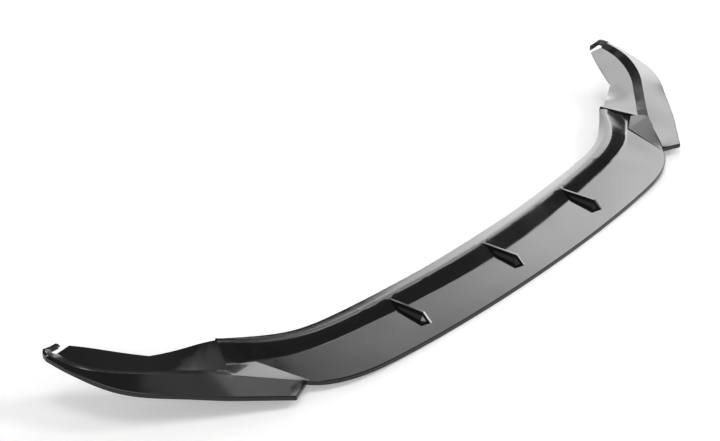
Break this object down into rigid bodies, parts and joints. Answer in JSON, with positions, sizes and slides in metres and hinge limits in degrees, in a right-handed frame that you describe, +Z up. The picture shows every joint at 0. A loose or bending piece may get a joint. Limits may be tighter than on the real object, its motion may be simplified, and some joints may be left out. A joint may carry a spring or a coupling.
{
  "type": "front splitter lip",
  "caption": "Thin moulded lip for the underside of a car's front bumper, with a flat blade, a raised rear flange, short fins on the blade and two swept-back wings.",
  "frame": {"origin": "middle of the rear flange's top face, on the car's centre plane", "axes": "+X across the car to its left, +Y to the rear of the car, +Z up, as fitted"},
  "size_m": [1.744, 0.4228, 0.0904],
  "materials": {
    "gloss_black": "high gloss"
  },
  "bodies": {
    "root": {"splitter_lip": "gloss_black"}
  },
  "joints": []
}
